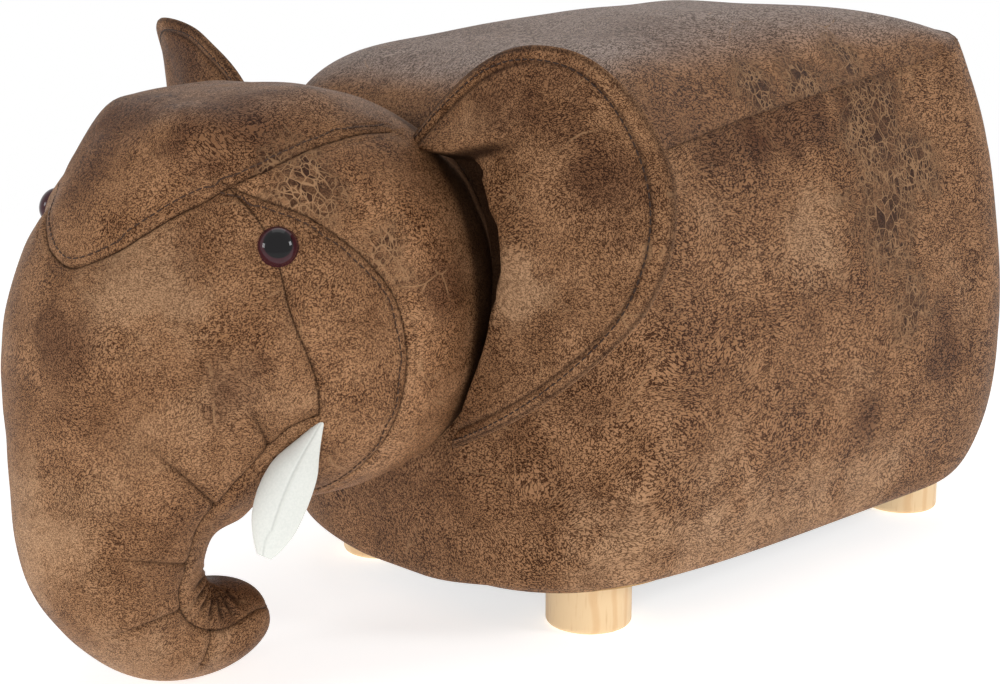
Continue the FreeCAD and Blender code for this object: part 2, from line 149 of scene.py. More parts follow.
# Places of the eyes in side view (forward, up). The right one is sewn on a little further forward than
# the washer behind it.
EYE_PLACES = {-1: (125, 199), 1: (141.5, 203)}
WASHER_PLACE = (125, 199)
eye_pillow = 12.0
eye_radius = 8.75
eye_rise = 6.5
eye_columns = 72

# The ears: outline, fold and root (out, up), and how the plate bends back.
EAR_OUTLINE = [
    (56, 234), (72, 251), (95, 268), (121, 280.5), (144, 283.5), (162, 279), (175, 265), (185, 243),
    (190, 215), (188.5, 189), (181, 163.5), (165, 141), (143, 121), (116, 104), (80, 87)]
EAR_FOLD = [
    (70, 240), (96, 230), (108, 211), (114, 197), (116, 185), (111, 161), (103, 137), (88, 104), (78, 80)]
EAR_ROOT = [(56, 234), (76, 222), (88, 200), (93, 165), (88, 130), (80, 87)]
ear_columns = 240
ear_lift = {-1: 0.0, 1: 4.5}
ear_tilt = {-1: 0.0, 1: 0.16}
ear_forward = 25.0
ear_bend_out = 119.0
ear_bend_radius = 84.0
ear_thickness = 6.4
ear_hem = 7.5
fold_depth = 22.0

# The tusks: half width along the leaf, as shares of its length and of its greatest half width.
TUSK_LEAF = [
    (0, 0.02), (0.12, 0.28), (0.3, 0.7), (0.45, 0.95), (0.58, 1.0), (0.72, 0.95), (0.86, 0.73),
    (0.95, 0.48), (1, 0.28)]
TUSK_ROOT = (99.8, 117.3, 80.0)
TUSK_TIP = (132.3, 57.5, 75.0)
tusk_half_width = 12.0
tusk_half_depth = 5.5
tusk_bow = 3.0
tusk_columns = 88

# Swelling of the padded covers in the cloth simulation.
swell_pressure = 4.0
swell_frames = 20
swell_cap = 6.0
swell_share = 0.7

# The studio: lamps as (name, place in metres, size, power).
LAMPS = [
    ("front", (-1.3, -1.2, 0.22), 1.1, 15.0), ("right", (0.75, -1.6, 0.9), 0.5, 10.0),
    ("left", (-1.75, 0.45, 0.6), 0.5, 8.0), ("top", (0.25, 0.25, 1.8), 1.3, 6.0)]
LAMP_TARGET = (0.05, 0, 0.15)
WHITE = (1, 1, 1, 1)
FLOOR_COLOUR = (0.9, 0.9, 0.9, 1)
floor_size = 60.0
floor_glow = 0.64
floor_fade = (0.5, 1.6)
world_light = 0.3
sensor_width = 36.0
focal_length = 64.8
CAMERA_PLACE = (-0.7148, -0.6992, 0.3505)
CAMERA_TURN = (77.7, 0, -44.5)


def metres(points):
    """Points in millimetres about the feet, as metres in the part's frame."""
    return np.asarray(points, float) * MM + feet_middle


def head_point(forward, up, out):
    return np.stack(np.broadcast_arrays(body_front - forward, out, hem_level + up), axis=-1).astype(float)


def ease(low, high, value):
    share = np.clip((np.asarray(value, float) - low) / (high - low), 0, 1)
    return share * share * (3 - 2 * share)


def bump(distance, width):
    return np.exp(-(distance / width) ** 2)


def waves(points, wavelength, seed, count=20):
    """Smooth seeded unevenness over points, about -1 to 1."""
    chance = np.random.default_rng(seed)
    directions = chance.normal(size=(count, 3))
    directions /= np.linalg.norm(directions, axis=1)[:, None]
    lengths = wavelength * chance.uniform(0.7, 1.5, count)
    phases = chance.uniform(0, 2 * math.pi, count)
    turns = points @ (directions * (2 * math.pi / lengths)[:, None]).T + phases
    return np.sin(turns).sum(axis=1) / math.sqrt(count)


def cubic(points, samples):
    """Points along a natural cubic spline through the given ones, evenly spaced by chord."""
    points = np.asarray(points, float)
    steps = np.linalg.norm(np.diff(points, axis=0), axis=1)
    knots = np.concatenate([[0], np.cumsum(steps)])
    count = len(points)
    system = np.eye(count)
    right = np.zeros_like(points)
    slopes = np.diff(points, axis=0) / steps[:, None]
    for i in range(1, count - 1):
        system[i, i - 1:i + 2] = steps[i - 1], 2 * (steps[i - 1] + steps[i]), steps[i]
        right[i] = 6 * (slopes[i] - slopes[i - 1])
    bends = np.linalg.solve(system, right)
    at = np.linspace(0, knots[-1], samples)
    k = np.clip(np.searchsorted(knots, at) - 1, 0, count - 2)
    a = ((knots[k + 1] - at) / steps[k])[:, None]
    b = 1 - a
    curve = ((a ** 3 - a) * bends[k] + (b ** 3 - b) * bends[k + 1]) * (steps[k] ** 2)[:, None] / 6
    return a * points[k] + b * points[k + 1] + curve


def even(line, spacing):
    """A polyline with points at an even spacing."""
    runs = np.concatenate([[0], np.cumsum(np.linalg.norm(np.diff(line, axis=0), axis=1))])
    at = np.linspace(0, runs[-1], max(2, int(runs[-1] / spacing) + 1))
    return np.stack([np.interp(at, runs, line[:, i]) for i in range(line.shape[1])], axis=1)


def nearest(points, line, reach=30.0):
    """Distance from each point to the samples of a line, and the number of the nearest sample."""
    deep, spots = (np.pad(flat, ((0, 0), (0, 3 - flat.shape[1]))) for flat in (line, points))
    tree = KDTree(len(deep))
    for i, sample in enumerate(deep):
        tree.insert(sample, i)
    tree.balance()
    distance = np.full(len(points), 2 * reach)
    which = np.zeros(len(points), int)
    close = ((spots > deep.min(axis=0) - reach) & (spots < deep.max(axis=0) + reach)).all(axis=1)
    for i in np.flatnonzero(close):
        _, which[i], distance[i] = tree.find(spots[i])
    return distance, which


def nearest_of(points, lines):
    """Distance from each point to the closest of several lines."""
    return np.min([nearest(points, line)[0] for line in lines], axis=0)


def signed_distance(points, loop):
    """Distance of flat points from a closed loop, negative inside it."""
    best = np.full(len(points), np.inf)
    inside = np.zeros(len(points), bool)
    for a, b in zip(loop, np.roll(loop, -1, axis=0)):
        run = b - a
        if run @ run < 1e-12:
            continue
        share = np.clip(((points - a) @ run) / (run @ run), 0, 1)
        best = np.minimum(best, np.linalg.norm(points - a - share[:, None] * run, axis=1))
        if a[1] != b[1]:
            crosses = (a[1] > points[:, 1]) != (b[1] > points[:, 1])
            inside ^= crosses & (points[:, 0] < a[0] + (points[:, 1] - a[1]) * run[0] / run[1])
    return np.where(inside, -best, best)


def grid_faces(rows, columns, closed=True):
    index = np.arange(rows * columns).reshape(rows, columns)
    here = index if closed else index[:, :-1]
    beside = np.roll(index, -1, axis=1) if closed else index[:, 1:]
    return np.stack([here[:-1], beside[:-1], beside[1:], here[1:]], axis=-1).reshape(-1, 4).tolist()


def raw_mesh(name, points, faces):
    mesh = bpy.data.meshes.new(name)
    mesh.from_pydata(np.asarray(points).tolist(), [], faces)
    mesh.shade_smooth()
    return mesh


def triples(items, name):
    found = np.zeros(len(items) * 3)
    items.foreach_get(name, found)
    return found.reshape(-1, 3)


def points_of(mesh):
    return triples(mesh.vertices, "co")


def normals_of(mesh):
    return triples(mesh.vertex_normals, "vector")


def rework(mesh, *steps):
    """Runs steps of bmesh work on a mesh."""
    form = bmesh.new()
    form.from_mesh(mesh)
    for step in steps:
        step(form)
    form.to_mesh(mesh)
    form.free()


def weld(form, distance=weld_distance * MM):
    bmesh.ops.remove_doubles(form, verts=form.verts, dist=distance)


def drop_slivers(form):
    bmesh.ops.dissolve_degenerate(form, edges=form.edges, dist=weld_distance / 2 * MM)


def turn_outward(form):
    bmesh.ops.recalc_face_normals(form, faces=form.faces)


def in_scene(name, data):
    """A new object, put into the scene."""
    made = bpy.data.objects.new(name, data)
    bpy.context.collection.objects.link(made)
    return made


def new_piece(name, points, faces, material, steps=(), dark_seams_and_shade=None):
    """A piece from points in millimetres about the feet, darkened 0 to 1 along dark seam lines and by painted
    shade.
    """
    mesh = raw_mesh(name, metres(points), faces)
    if dark_seams_and_shade is not None:
        layer = mesh.attributes.new("dark_seams_and_shade", "FLOAT", "POINT")
        layer.data.foreach_set("value", np.clip(dark_seams_and_shade, 0, 1).astype(np.float32))
    if steps:
        rework(mesh, *steps)
    piece = in_scene(name, mesh)
    mesh.materials.append(material)
    return piece


def padded_cover(name, points, faces, material, nodes, dark_seams_and_shade, steps=()):
    """A leather cover with its thickness, inward from the side that shows, over padding that it stands for."""
    piece = new_piece(name, points, faces, material, steps, dark_seams_and_shade)
    layer = piece.modifiers.new("thickness", "SOLIDIFY")
    layer.thickness = leather_thickness * MM
    layer.offset = -1
    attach(piece, "stool")
    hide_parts(*nodes)


def swelling(grid, held):
    """How far inner pressure swells a padded cover from a grid of points, in millimetres along its normals.

    Blender's cloth does it on a coarser grid. Held points stay where they are.
    """
    rows, columns = grid.shape[:2]
    row_picks = np.unique(np.linspace(0, rows - 1, rows // 3).astype(int))
    column_picks = np.arange(0, columns, 4)
    coarse = grid[row_picks][:, column_picks].reshape(-1, 3)
    pinned = held.reshape(rows, columns)[row_picks][:, column_picks].ravel()
    mesh = raw_mesh("swelling", metres(coarse), grid_faces(len(row_picks), len(column_picks)))
    sheet = in_scene("swelling", mesh)
    sheet.vertex_groups.new(name="held").add(np.flatnonzero(pinned).tolist(), 1.0, "REPLACE")
    cloth = sheet.modifiers.new("cloth", "CLOTH")
    cloth.settings.use_pressure = True
    cloth.settings.uniform_pressure_force = swell_pressure
    cloth.settings.vertex_group_mass = "held"
    cloth.settings.effector_weights.gravity = 0
    cloth.collision_settings.use_collision = False
    scene = bpy.context.scene
    for frame_number in range(1, swell_frames + 1):
        scene.frame_set(frame_number)
    swollen = points_of(sheet.evaluated_get(bpy.context.evaluated_depsgraph_get()).data)
    rise = ((swollen - metres(coarse)) / MM * normals_of(mesh)).sum(axis=1)
    rise = np.clip(rise, -swell_cap / 3, swell_cap)
    scene.frame_set(1)
    bpy.data.objects.remove(sheet)
    rise = rise.reshape(len(row_picks), len(column_picks))
    wrapped = np.concatenate([rise, rise[:, :1]], axis=1)
    column_ends = np.append(column_picks, columns)
    across = np.array([np.interp(np.arange(columns), column_ends, row) for row in wrapped])
    full = np.array([np.interp(np.arange(rows), row_picks, column) for column in across.T]).T.ravel()
    return swell_share * (full - np.median(full[~held]))


def is_socket(value):
    return isinstance(value, bpy.types.NodeSocket)


def set_inputs(made, inputs):
    """Links the inputs of a node to sockets, or sets them to values."""
    for key, value in inputs.items():
        if is_socket(value):
            made.id_data.links.new(value, made.inputs[key])
        else:
            made.inputs[key].default_value = value


def node(tree, kind, inputs=None, **settings):
    made = tree.nodes.new("ShaderNode" + kind)
    for name, value in settings.items():
        setattr(made, name, value)
    set_inputs(made, inputs or {})
    return made


def joined(kind, inputs, **settings):
    """A node in the tree of the sockets among its inputs."""
    tree = next(value.id_data for value in inputs.values() if is_socket(value))
    return node(tree, kind, inputs, **settings)


def math_of(operation, a, b=0.0, clamp=False):
    return joined("Math", {0: a, 1: b}, operation=operation, use_clamp=clamp).outputs[0]


times, plus, minus, larger = (partial(math_of, kind) for kind in ("MULTIPLY", "ADD", "SUBTRACT", "MAXIMUM"))


def vector_of(operation, a, b=(0.0, 0.0, 0.0), output="Vector"):
    return joined("VectorMath", {0: a, 1: b}, operation=operation).outputs[output]


def scaled(place, scale):
    return vector_of("MULTIPLY", place, scale)


def ramp_of(value, low, high, start=0.0, end=1.0, curve="SMOOTHSTEP"):
    inputs = {"Value": value, "From Min": low, "From Max": high, "To Min": start, "To Max": end}
    return joined("MapRange", inputs, interpolation_type=curve).outputs[0]


def blend_of(share, a, b, **settings):
    return joined("Mix", {0: share, 6: a, 7: b}, data_type="RGBA", **settings).outputs[2]


def tinted(tone, red, green, blue):
    return blend_of(1.0, tone, (red, green, blue, 1), blend_type="MULTIPLY")


def noise_of(place, scale, detail, roughness=0.5, output=0):
    inputs = {"Vector": place, "Scale": scale, "Detail": detail, "Roughness": roughness}
    return joined("TexNoise", inputs).outputs[output]


def wandering(place, scale, detail, reach):
    """Places that smooth noise moves by up to a reach."""
    return vector_of("ADD", place, scaled(noise_of(place, scale, detail, output="Color"), reach))


def cracks_of(place, scale, outer, inner):
    """Lines between plates: 1 within the inner width, 0 past the outer one."""
    plates = joined("TexVoronoi", {"Vector": place, "Scale": scale}, feature="DISTANCE_TO_EDGE")
    return ramp_of(plates.outputs["Distance"], outer, inner)


def plate_tones(place, scale):
    return joined("TexVoronoi", {"Vector": place, "Scale": scale}).outputs["Color"]


def relief_of(height, strength, depth):
    """Normals of a fine relief, with its depth in millimetres."""
    return joined("Bump", {"Height": height, "Strength": strength, "Distance": depth * MM}).outputs[0]


def colour(red, green, blue, tone=1.0):
    """A linear colour from the 0 to 255 values of a screen colour, times a tone."""
    shares = np.array([red, green, blue]) / 255
    linear = np.where(shares <= 0.04045, shares / 12.92, ((shares + 0.055) / 1.055) ** 2.4)
    return tuple(linear * tone) + (1.0,)


def cleared(owner):
    """The node tree of a material or world, emptied."""
    owner.use_nodes = True
    owner.node_tree.nodes.clear()
    return owner.node_tree


def new_material(name):
    """A material with an empty tree, its shader, and places in millimetres about the feet."""
    material = bpy.data.materials.new(name)
    tree = cleared(material)
    shader = node(tree, "BsdfPrincipled")
    node(tree, "OutputMaterial", {"Surface": shader.outputs[0]})
    origin = node(tree, "TexCoord").outputs["Object"]
    place = scaled(vector_of("SUBTRACT", origin, tuple(feet_middle)), (1 / MM, 1 / MM, 1 / MM))
    return material, shader, place


def dark_seams_and_shade_in(shader):
    return node(shader.id_data, "Attribute", attribute_name="dark_seams_and_shade").outputs["Fac"]


def patches_of(place, spots, ragged):
    """Ragged patches round the spots (x, y, z, radius): 1 inside, 0 outside."""
    share = 0.0
    for x, y, z, radius in spots:
        away = vector_of("DISTANCE", place, (x, y, z), "Value")
        share = larger(ramp_of(away, 0.0, radius, 1.0, 0.0, "LINEAR"), share)
    if not spots:
        return share
    uneven = times(minus(ragged, 0.5), 1.7)
    return times(ramp_of(plus(share, uneven), 0.2, 0.85), ramp_of(share, 0.0, 0.3))


def patched(place, spots, ragged, elsewhere):
    """Patches round the spots, added to a share that is there all over."""
    if not spots:
        return elsewhere
    return plus(times(patches_of(place, spots, ragged), 0.7), elsewhere, clamp=True)


def edge_shade_of(place, ragged, middle, half_length, half_width):
    """How close a place is to the ragged edge of a long panel: 0 inside, 1 at its edge."""
    centred = vector_of("SUBTRACT", place, (middle, 0.0, 0.0))
    shares = vector_of("ABSOLUTE", scaled(centred, (1 / half_length, 1 / half_width, 0.0)))
    parts = joined("SeparateXYZ", {0: shares}).outputs
    uneven = times(minus(ragged, 0.5), 0.35)
    return ramp_of(plus(larger(parts["X"], parts["Y"]), uneven), 0.76, 1.0)


def leather(name, slide, stretch=(0.7, 1.0, 1.0), grain=0.8, contrast=1.0, gloss=0.08, tone=1.0, dust_and_sheen=0.0,
            rim=None, crackle=(), worn_and_lit=(), dark=()):
    """Distressed faux leather: fine furrowed grain, soft mottling, crackled dark patches and tan patches,
    which are wear and in places painted light.

    Dust makes the surfaces that face up grey: partly grey dust, partly a painted sheen. Rim is the middle,
    half length and half width of a panel that is painted darker along its edges, as painted shade where they
    roll over.
    """
    material, shader, place = new_material(name)
    laid = vector_of("ADD", place, slide)
    bent = wandering(laid, 0.025, 1.0, (24.0, 24.0, 24.0))
    creases = noise_of(scaled(bent, stretch), grain, 2.0, 0.6)
    furrow = ramp_of(math_of("ABSOLUTE", minus(creases, 0.5)), 0.085, 0.015)
    pores = noise_of(laid, grain * 3.2, 2.0, 0.6)
    mottle = noise_of(laid, 0.045, 6.0, 0.6)
    broad = noise_of(laid, 0.014, 3.0, 0.6)
    ragged = noise_of(laid, 0.05, 7.0, 0.68)

    crackle_share = patches_of(place, crackle, ragged)
    plates = scaled(wandering(laid, 0.07, 2.0, (7.0, 7.0, 7.0)), (1.0, 1.0, 0.7))
    small = ramp_of(ragged, 0.44, 0.52)
    wide_lines = cracks_of(plates, 0.17, 0.055, 0.01375)
    thin_lines = times(cracks_of(plates, 0.36, 0.095, 0.02375), small)
    scratches = times(cracks_of(bent, 0.017, 0.011, 0.003), ramp_of(ragged, 0.5, 0.62, 0.0, 0.7))
    lines = larger(times(larger(wide_lines, thin_lines), crackle_share), scratches)

    # Tan patches: wear, and in places painted light.
    worn_and_lit_share = patched(place, worn_and_lit, ragged, ramp_of(broad, 0.55, 0.75, 0.0, 0.45))
    dark_share = patched(place, dark, ragged, ramp_of(broad, 0.45, 0.28, 0.0, 0.3))
    dust_and_sheen_share = ramp_of(mottle, 0.25, 0.6, 0.6 * dust_and_sheen, dust_and_sheen)
    # Painted shade along the rolled edges of the panel, where the painted sheen is also taken away.
    if rim:
        edge = edge_shade_of(place, ragged, *rim)
        dark_share = plus(dark_share, times(edge, 0.5), clamp=True)
        dust_and_sheen_share = times(dust_and_sheen_share, minus(1.0, edge))
    if dust_and_sheen:
        facing = node(shader.id_data, "NewGeometry").outputs["Normal"]
        upward = joined("SeparateXYZ", {0: facing}).outputs["Z"]
        dust_and_sheen_share = times(dust_and_sheen_share, ramp_of(upward, 0.6, 0.97))

    ground = blend_of(ramp_of(mottle, 0.3, 0.7), colour(112, 78, 50), colour(131, 95, 65))
    ground = blend_of(worn_and_lit_share, ground, colour(148, 114, 83))
    # Grey on surfaces that face up: partly dust, partly painted sheen.
    ground = blend_of(dust_and_sheen_share, ground, colour(134, 116, 103))
    ground = blend_of(dark_share, ground, colour(72, 44, 26))
    tones = blend_of(small, plate_tones(plates, 0.17), plate_tones(plates, 0.36))
    inside = times(crackle_share, ramp_of(tones, 0.1, 0.7, 0.45, 1.0))
    ground = blend_of(inside, ground, colour(48, 28, 17))

    depth = minus(contrast, times(worn_and_lit_share, 0.45))
    depth = times(depth, ramp_of(mottle, 0.62, 0.36, 0.8, 1.0))
    if crackle:
        depth = times(depth, ramp_of(crackle_share, 0.0, 1.0, 1.0, 0.6))
    low = plus(times(furrow, depth), ramp_of(pores, 0.55, 0.35, 0.0, 0.35), clamp=True)
    # Grain tops are painted lighter and greyer, as a painted highlight; furrows and pores darker, partly the
    # grain's colour and partly painted shade.
    top_tone = tinted(ground, 1.76 * tone, 1.86 * tone, 2.04 * tone)
    pit_tone = tinted(ground, 0.19 * tone, 0.12 * tone, 0.075 * tone)
    ground = blend_of(low, top_tone, pit_tone)
    ground = blend_of(times(lines, 0.8), ground, colour(158, 122, 89, tone))
    # Darkened along dark seam and stitch lines, and by painted shade in creases, gaps and recesses.
    ground = blend_of(times(dark_seams_and_shade_in(shader), 0.9, clamp=True), ground, colour(34, 19, 11))
    set_inputs(shader, {
        "Base Color": ground, "Roughness": ramp_of(mottle, 0.3, 0.7, 0.46, 0.6), "Specular IOR Level": gloss,
        "Normal": relief_of(minus(times(lines, 0.3), low), 0.6, 0.25 * contrast)})
    return material


def plain(name, base, darker, scale, roughness, relief=0.05, stretch=(1.0, 1.0, 1.0), specular=0.3):
    """A quiet material: a base colour mottled with a darker one, and a little relief."""
    material, shader, place = new_material(name)
    share = noise_of(scaled(place, stretch), scale, 4.0, 0.6)
    tone = blend_of(ramp_of(share, 0.3, 0.7), colour(*darker), colour(*base))
    set_inputs(shader, {
        "Base Color": blend_of(dark_seams_and_shade_in(shader), tone, colour(110, 112, 108)), "Roughness": roughness,
        "Specular IOR Level": specular, "Normal": relief_of(share, 0.5, relief)})
    return material


def pine(name):
    """Pale pine with upright grain and end grain rings."""
    material, shader, place = new_material(name)
    flow = wandering(place, 0.04, 1.0, (6.0, 6.0, 0.0))
    inputs = {"Vector": scaled(flow, (1.0, 0.25, 0.02)), "Scale": 0.07, "Distortion": 1.2, "Detail": 2.0}
    rings = joined("TexWave", inputs, bands_direction="DIAGONAL").outputs[0]
    fibre = noise_of(scaled(place, (1.0, 1.0, 0.06)), 1.1, 3.0, 0.6)
    tone = blend_of(ramp_of(rings, 0.55, 1.0, 0.0, 0.45), colour(232, 202, 158), colour(214, 168, 115))
    tone = blend_of(ramp_of(fibre, 0.55, 0.78, 0.0, 0.35), tone, colour(190, 136, 84))
    set_inputs(shader, {"Base Color": tone, "Roughness": 0.45, "Normal": relief_of(fibre, 0.4, 0.08)})
    return material


def eye_plastic(name, middle, look):
    """Dark plum plastic with a black pupil."""
    material, shader, place = new_material(name)
    offset = vector_of("SUBTRACT", place, tuple(middle))
    ahead = vector_of("DOT_PRODUCT", offset, tuple(look), "Value")
    reach = vector_of("LENGTH", offset, output="Value")
    pupil = ramp_of(minus(times(reach, reach), times(ahead, ahead)), 36.0, 46.0)
    iris = blend_of(noise_of(place, 0.8, 3.0, 0.6), colour(44, 18, 24), colour(66, 30, 36))
    set_inputs(shader, {
        "Base Color": blend_of(pupil, colour(8, 6, 8), iris), "Roughness": 0.06, "Specular IOR Level": 0.25})
    return material


def body_ring(front, rear, half, front_radius, rear_radius):
    """Plan of one ring round the body, from its rear right corner by the right side to the front."""
    corners = [
        (rear - rear_radius, half - rear_radius, rear_radius),
        (front + front_radius, half - front_radius, front_radius),
        (front + front_radius, front_radius - half, front_radius),
        (rear - rear_radius, rear_radius - half, rear_radius)]
    arcs = []
    for quarter, (x, y, radius) in enumerate(corners):
        turn = np.radians(90 * quarter + np.linspace(0, 90, corner_columns))
        arcs.append(np.stack([x + radius * np.cos(turn), y + radius * np.sin(turn)], axis=1))
    ring = []
    for arc, following, columns in zip(arcs, arcs[1:] + arcs[:1], straight_columns):
        share = np.linspace(0, 1, columns + 2)[1:-1, None]
        ring += [arc, arc[-1] + share * (following[0] - arc[-1])]
    ring = np.concatenate(ring)
    count = len(ring)
    offset = np.minimum(np.arange(count), count - np.arange(count))
    weight = np.exp(-(offset / corner_ease) ** 2 / 2)
    spectrum = np.fft.fft(ring, axis=0) * np.fft.fft(weight / weight.sum())[:, None]
    return np.real(np.fft.ifft(spectrum, axis=0))


def seam_height(x):
    return seam_level + seam_slope * x + seam_rear_rise * ease(120, 185, x)


def hem_rise(x, y):
    """The leather under the stool is drawn up at its front corners and hangs lower between them."""
    outer = ease(20, 80, np.abs(y))
    return 0.4 + 4.8 * outer * bump(x + 175, 75) - 2.5 * (1 - outer) * ease(-170, -215, x)


def widened(ring, share):
    """The front of the seat is broader than its rear."""
    half = np.abs(ring[:, 1]).max()
    spread = 1 + share * front_widening * ease(-40, -190, ring[:, 0]) / max(half, 1.0)
    return np.stack([ring[:, 0], ring[:, 1] * spread], axis=1)


def side_rows():
    """Rings from the hem under the base, round the roll and up to the seat seam."""
    rows = []
    lower = [(1 + hem_width / bottom_inset * (1 - share), 0.0) for share in np.linspace(0, 1, 9)[:-1]]
    for angle in np.radians(np.linspace(0, 90, 24)[:-1]):
        lower.append((1 - math.sin(angle) ** (2 / roll_power), 1 - math.cos(angle) ** (2 / roll_power)))
    for tuck, rise in lower:
        inset = bottom_inset * tuck
        ring = body_ring(
            body_front + front_bottom_inset * tuck, body_rear - rear_bottom_inset * tuck,
            body_half_width - inset, front_corner_radius - inset, rear_corner_radius - inset)
        lift = hem_rise(ring[:, 0], ring[:, 1]) * (1 - rise) * ease(1.55, 0.95, tuck)
        rows.append(np.column_stack([ring, hem_level + bulge_height * rise + lift]))
    middle = hem_level + bulge_height
    for share in 1 - np.linspace(1, 0, 64) ** 1.35:
        front_radius = front_corner_radius + (seat_corner_radius - front_corner_radius) * share
        rear_radius = rear_corner_radius + (seat_corner_radius - rear_corner_radius) * share
        ring = body_ring(
            body_front + seam_front_inset * share, body_rear - seam_rear_inset * share ** rear_curve_power,
            body_half_width - seam_inset * share ** side_curve_power, front_radius, rear_radius)
        ring = widened(ring, share ** side_curve_power)
        tilt = seam_height(ring[:, 0]) - seam_level
        rows.append(np.column_stack([ring, middle + (seam_level - middle) * share + tilt * share ** 2]))
    return np.array(rows)


def seat_rows():
    """Rings from the seat seam up over the crown to its ridge."""
    rows = []
    half = body_half_width - seam_inset
    for share in np.concatenate([np.linspace(0, 1, 32)[:-1] ** 1.5 * 0.3, np.linspace(0.3, 1, 34)]):
        inset = half * share
        radius = min(seat_corner_radius * (1 - share) ** 0.8, half - inset)
        ring = body_ring(
            body_front + seam_front_inset + 1.1 * inset, body_rear - seam_rear_inset - inset, half - inset,
            radius, radius)
        ring = widened(ring, 1 - share)
        x = ring[:, 0]
        power = crown_power + (front_crown_power - crown_power) * ease(-70, -205, x)
        power += (rear_crown_power - crown_power) * ease(70, 180, x)
        curve = np.where(x > ridge_middle, rear_ridge_curve, ridge_curve)
        rise = ridge_level - curve * (x - ridge_middle) ** 2 - seam_height(x)
        level = seam_height(x) + np.maximum(rise, least_crown_rise) * (1 - (1 - share) ** power)
        rows.append(np.column_stack([ring, level]))
    return np.array(rows)


def make_body():
    """The side and seat covers, puckered along their seam, with painted shade where the head meets the side.
    """
    side = side_rows()
    seat = seat_rows()
    columns = side.shape[1]
    for name, rows, nodes, material in (
            ("side_cover", side, ("side_cover_band", "side_foam"), leathers["side"]),
            ("seat_cover", seat, ("seat_cover_panel", "seat_foam"), leathers["seat"])):
        points = rows.reshape(-1, 3)
        faces = grid_faces(len(rows), columns)
        out = normals_of(raw_mesh(name, points, faces))
        away, _ = nearest(points, side[-1])
        up = points[:, 2] - hem_level
        held = (away < 4) | (up < 6)
        if name == "seat_cover":
            held |= np.repeat(np.arange(len(rows)) >= len(rows) - 2, columns)
        pucker = waves(points * [1, 1, 0.1], 17, 3) * bump(away, 14)
        move = -0.8 * bump(away, 2.2) - 1.0 * bump(away, 11) + 0.35 * pucker
        move += 0.7 * waves(points, 95, 4) * ease(0, 40, up)
        move += swelling(rows, held) * ease(0, 30, up) * ease(0, 25, away)
        points = points + out * move[:, None]
        up = points[:, 2] - hem_level
        neck_shade = ease(14, 5, points[:, 0] - body_front) * ease(95, 78, np.abs(points[:, 1]))
        # A dark line along the seat seam with soft painted shade in its groove, and painted shade in the
        # crease where the head meets the side.
        dark_seams_and_shade = 0.3 * bump(away, 0.9) + 0.1 * bump(away, 5)
        dark_seams_and_shade += 0.95 * neck_shade * ease(250, 236, up) * ease(140, 165, up)
        padded_cover(name, points, faces, material, nodes, dark_seams_and_shade, [weld])


def head_grid():
    """Ovals along the head and trunk, closed at the trunk's tip."""
    flat = [[*inner, *outer, half] for inner, outer, half in HEAD_SECTIONS]
    sections = cubic(flat, head_rows)
    angle = np.linspace(0, 2 * math.pi, head_columns, endpoint=False)
    power = 2 / oval_power
    across = np.sign(np.cos(angle)) * np.abs(np.cos(angle)) ** power
    along = np.sign(np.sin(angle)) * np.abs(np.sin(angle)) ** power
    middle = (sections[:, :2] + sections[:, 2:4]) / 2
    arm = (sections[:, 2:4] - sections[:, :2]) / 2
    flat = middle[:, None] + arm[:, None] * along[:, None]
    out = sections[:, 4][:, None] * across
    rows = head_point(flat[..., 0], flat[..., 1], out)
    tip = rows[-1].mean(axis=0) + [2.5, 0, 0]
    shrink = [0.8, 0.55, 0.28, 0.0]
    ends = [tip * (1 - s) + rows[-1] * s + [2.0 * (1 - s), 0, 0] for s in shrink]
    return np.concatenate([rows, np.array(ends)])


def cut(form, level_of):
    """Cuts a form along the line where level_of(points) changes sign."""
    form.verts.index_update()
    level = level_of(np.array([v.co for v in form.verts]))
    corners, splits = {}, []
    for edge in list(form.edges):
        a, b = edge.verts
        start, end = level[a.index], level[b.index]
        if start * end >= 0:
            continue
        share = start / (start - end)
        if 0.1 <= share <= 0.9:
            splits.append((edge, a, share))
        else:
            corners[a if share < 0.1 else b] = True
    for split in splits:
        corners[bmesh.utils.edge_split(*split)[1]] = True
    bmesh.ops.connect_verts(form, verts=list(corners))


def refine(form, lines, reach, cuts):
    """Divides the faces near the given lines, so that seams and darts are sharp there."""
    samples = np.concatenate([line[::3] for line in lines])
    form.faces.ensure_lookup_table()
    away, _ = nearest(np.array([face.calc_center_median() for face in form.faces]), samples)
    edges = dict.fromkeys(edge for i in np.flatnonzero(away < reach) for edge in form.faces[i].edges)
    bmesh.ops.subdivide_edges(form, edges=list(edges), cuts=cuts, use_grid_fill=True)


def side_view(points):
    return np.stack([body_front - points[:, 0], points[:, 2] - hem_level], axis=1)


def crown_loop():
    return cubic(CROWN_SEAM, 260)


def crown_level(points):
    flat = np.stack([body_front - points[:, 0], points[:, 1]], axis=1)
    return np.where(points[:, 2] > hem_level + 160, signed_distance(flat, crown_loop()), 50.0)


def underside_level(points):
    loop = np.concatenate([cubic(GUSSET_SEAM, 120), np.array(THROAT_SEAM[:-1], float)])
    return signed_distance(side_view(points), loop)


def cheek_level(points):
    loop = np.concatenate([cubic(CHEEK_SEAM, 120), [(110, 70)], cubic(FACE_SEAM, 80)[::-1]])
    return signed_distance(side_view(points), loop)


def from_side(tree, forward, up, side):
    """The spot on a form that shows from one side at a place in side view, or None."""
    start = (body_front - forward, side * 300, hem_level + up)
    return tree.ray_cast(Vector(start), Vector((0, -side, 0)))[0]


def from_above(tree, forward, y):
    return tree.ray_cast(Vector((body_front - forward, y, 500)), Vector((0, 0, -1)))[0]


def on_form(tree, line, side=0):
    """A seam on the head: drawn in plan where side is 0, else in side view and cast from that side."""
    found = [from_side(tree, *spot, side) if side else from_above(tree, *spot) for spot in line]
    return even(np.array([spot for spot in found if spot is not None]), 1.0)


